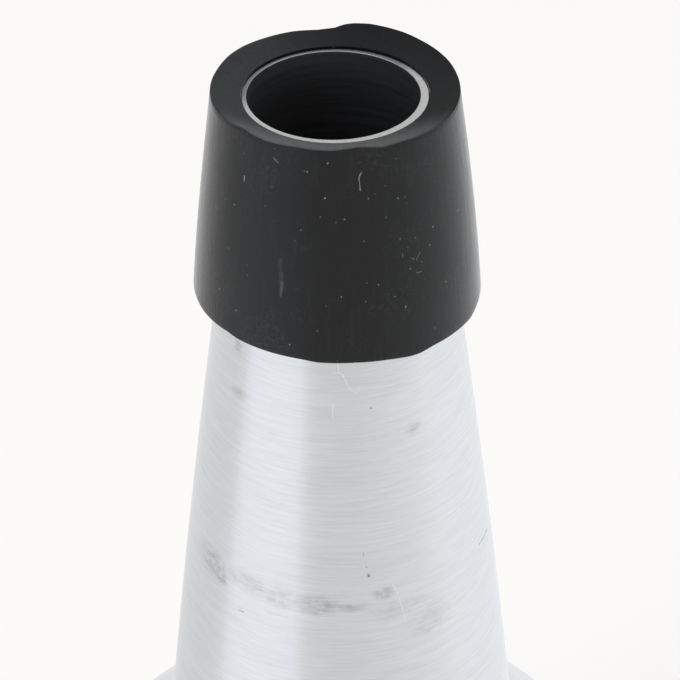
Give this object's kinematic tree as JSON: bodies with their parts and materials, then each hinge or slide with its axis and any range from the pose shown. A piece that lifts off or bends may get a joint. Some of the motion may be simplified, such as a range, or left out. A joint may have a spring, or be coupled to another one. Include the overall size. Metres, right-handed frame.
{
  "type": "trumpet mute",
  "caption": "Wah-wah trumpet mute: spun aluminium neck and bulb, black rubber sleeve round the open tip, and a belled stem sliding in a cork-lined socket.",
  "frame": {"origin": "on the mute's axis, at the foot of the stem's bell, which it stands on", "axes": "+Z along the axis, from the stem's bell up to the neck's open end; the mute is turned about it, so X and Y are any two square directions"},
  "size_m": [0.0828, 0.0828, 0.156],
  "materials": {
    "spun_aluminium": "fine circumferential brushing from spinning, a little smudged and scratched",
    "drawn_aluminium": "smooth satin",
    "black_rubber": "matt with a slight sheen at grazing angles, a little dusty, edges cut by hand",
    "cork": "natural cork, unsealed"
  },
  "bodies": {
    "stem": {"stem_bell": "drawn_aluminium", "stem_tube": "drawn_aluminium"},
    "mute_body": {"back_shell": "spun_aluminium", "neck_shell": "spun_aluminium", "neck_sleeve": "black_rubber", "stem_socket": "drawn_aluminium", "socket_cork": "cork"}
  },
  "joints": [
    {"name": "stem_slide", "type": "slide", "parent": "stem", "child": "mute_body", "axis": [0, 0, 1], "range_m": [0, 0.064]}
  ]
}
